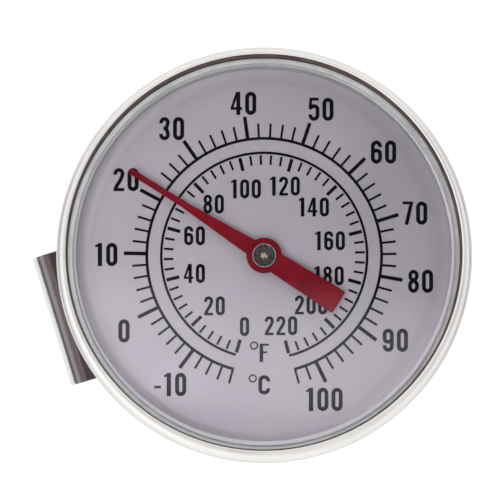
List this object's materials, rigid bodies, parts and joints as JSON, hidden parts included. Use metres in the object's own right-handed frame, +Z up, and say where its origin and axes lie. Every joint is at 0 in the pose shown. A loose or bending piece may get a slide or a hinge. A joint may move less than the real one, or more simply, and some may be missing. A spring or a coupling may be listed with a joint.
{
  "type": "dial thermometer",
  "caption": "Round-faced bimetal thermometer with a long thin stem, a printed dial under a bevelled lens, a red pointer, a calibration nut and a sliding pan clip.",
  "frame": {"origin": "on the stem's axis at the underside of the hexagonal nut", "axes": "+Z up the stem towards the dial, +Y towards the dial's twelve o'clock, +X to the right of the dial"},
  "size_m": [0.056, 0.052, 0.3152],
  "materials": {
    "case_steel": "drawn and satin polished",
    "rim_steel": "bright polished",
    "lens_glass": "clear, flat, bevelled edge",
    "gasket_rubber": "dark moulded rubber",
    "spacer_white": "pale grey lacquer",
    "dial_face": "satin lacquered",
    "dial_print": "black screen print",
    "nut_steel": "turned and lightly polished",
    "seal_ptfe": "white skived sheet",
    "spring_steel": "blued spring steel",
    "washer_steel": "stamped",
    "stem_steel": "ground and polished tube",
    "brass": "turned",
    "bimetal_strip": "rolled strip, two-tone edges",
    "spindle_steel": "drawn wire",
    "pointer_red": "satin crimson paint",
    "hub_steel": "grey passivated",
    "clip_steel": "mirror polished strip",
    "rivet_steel": "cold headed",
    "sleeve_steel": "satin spring steel"
  },
  "bodies": {
    "stem": {"hex_nut": "nut_steel", "seal_washer": "seal_ptfe", "spring_washer": "spring_steel", "thrust_washer": "washer_steel", "retaining_ring": "spring_steel", "stem_tube": "stem_steel", "stem_plug": "stem_steel", "guide_bush_1": "brass", "guide_bush_2": "brass", "guide_bush_3": "brass", "upper_bearing": "brass", "coil_anchor": "washer_steel", "bimetal_coil": "bimetal_strip"},
    "head": {"case": "case_steel", "bezel_ring": "rim_steel", "lens": "lens_glass", "lens_gasket": "gasket_rubber", "spacer_ring": "spacer_white", "dial_plate": "dial_face"},
    "needle": {"spindle": "spindle_steel", "coil_collet": "brass", "pointer_arbor": "brass", "pointer": "pointer_red", "pointer_cap": "hub_steel"},
    "clip_slider": {"grip_sleeve": "sleeve_steel"},
    "clip": {"clip_band": "clip_steel", "clip_bracket": "clip_steel", "clip_rivets": "rivet_steel"}
  },
  "joints": [
    {"name": "calibration_turn", "type": "hinge", "parent": "stem", "child": "head", "pos_m": [0, 0, 0.0054], "axis": [0, 0, 1], "continuous": true},
    {"name": "pointer_turn", "type": "hinge", "parent": "stem", "child": "needle", "pos_m": [0, 0, 0.0114], "axis": [0, 0, -1], "range_deg": [-106.3, 223.7], "stiffness_Nm_per_rad": 0.002},
    {"name": "clip_slide", "type": "slide", "parent": "stem", "child": "clip_slider", "axis": [0, 0, -1], "range_m": [-0.0024, 0.2]},
    {"name": "clip_swivel", "type": "hinge", "parent": "clip_slider", "child": "clip", "pos_m": [0, 0, -0.0135], "axis": [0, 0, 1], "continuous": true}
  ]
}
